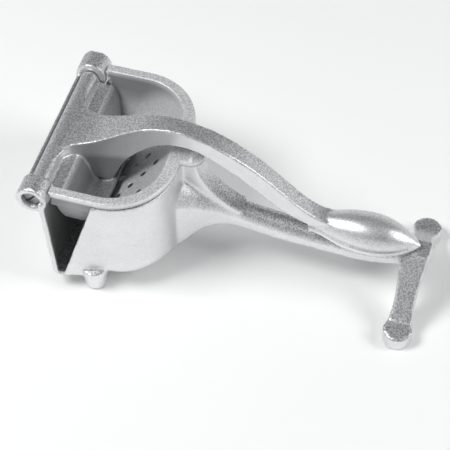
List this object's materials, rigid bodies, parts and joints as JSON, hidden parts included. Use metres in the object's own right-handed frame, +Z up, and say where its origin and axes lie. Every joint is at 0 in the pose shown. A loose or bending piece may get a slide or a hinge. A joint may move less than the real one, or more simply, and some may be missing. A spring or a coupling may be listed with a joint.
{
  "type": "hand fruit press",
  "caption": "Hand fruit press in cast aluminium: cup with pouring beaks and a long footed handle, lift-out strainer, and a hinged lever with a hollow press head.",
  "frame": {"origin": "middle of the footprint, on the table the press stands on", "axes": "+X from the hinge towards the cross foot, along the handle; +Y to the press's far side, along the hinge pin; +Z up"},
  "size_m": [0.2328, 0.119, 0.1008],
  "materials": {
    "cast_aluminium": "tumbled as-cast satin with a fine grain",
    "plated_steel": "plated, dull"
  },
  "bodies": {
    "body": {"body_casting": "cast_aluminium", "hinge_rod": "plated_steel", "hinge_washer_near": "plated_steel", "hinge_washer_far": "plated_steel", "hinge_screw_near": "plated_steel", "hinge_screw_far": "plated_steel"},
    "lever": {"press_lever": "cast_aluminium"},
    "strainer": {"strainer_basket": "cast_aluminium"}
  },
  "joints": [
    {"name": "lever_hinge", "type": "hinge", "parent": "body", "child": "lever", "pos_m": [-0.1069, 0, 0.0755], "axis": [0, -1, 0], "range_deg": [0, 110]},
    {"name": "strainer_lift", "type": "slide", "parent": "body", "child": "strainer", "axis": [0, 0, 1], "range_m": [0, 0.001]}
  ]
}
